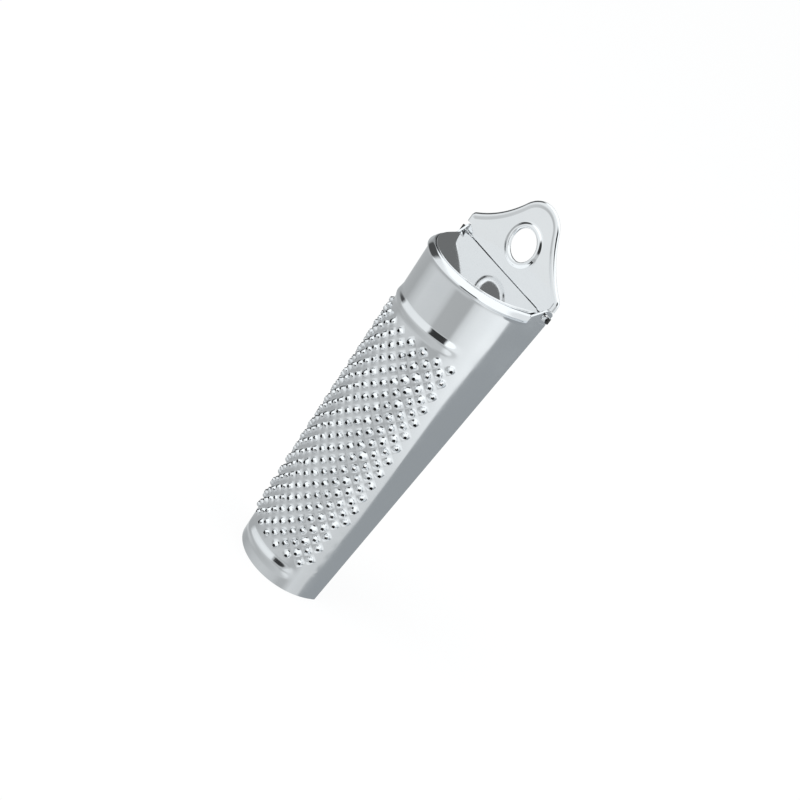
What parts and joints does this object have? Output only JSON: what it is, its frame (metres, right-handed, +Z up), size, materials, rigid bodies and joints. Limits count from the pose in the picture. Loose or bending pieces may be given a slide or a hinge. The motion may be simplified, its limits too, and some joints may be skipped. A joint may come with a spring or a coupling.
{
  "type": "nutmeg grater",
  "caption": "Arched sheet-steel nutmeg grater with a field of punched rasp teeth, a storage compartment under a hinged lid, and a hanging tab with a round hole.",
  "frame": {"origin": "middle of the bounding box, at the foot edge", "axes": "+Z up along the axis of the arched nose, -Y the way the toothed nose faces, +Y the flat back, X along the hinge"},
  "size_m": [0.047, 0.0278, 0.1416],
  "materials": {
    "polished_steel": "mirror-polished stainless sheet",
    "plain_steel": "plain mill-finish stainless sheet"
  },
  "bodies": {
    "body": {"grater_body": "polished_steel", "back_plate": "plain_steel", "compartment_floor": "plain_steel"},
    "lid": {"lid": "polished_steel", "hanging_tab": "polished_steel"}
  },
  "joints": [
    {"name": "lid_hinge", "type": "hinge", "parent": "body", "child": "lid", "pos_m": [0, 0.01188, 0.1176], "axis": [-1, 0, 0], "range_deg": [0, 95]}
  ]
}
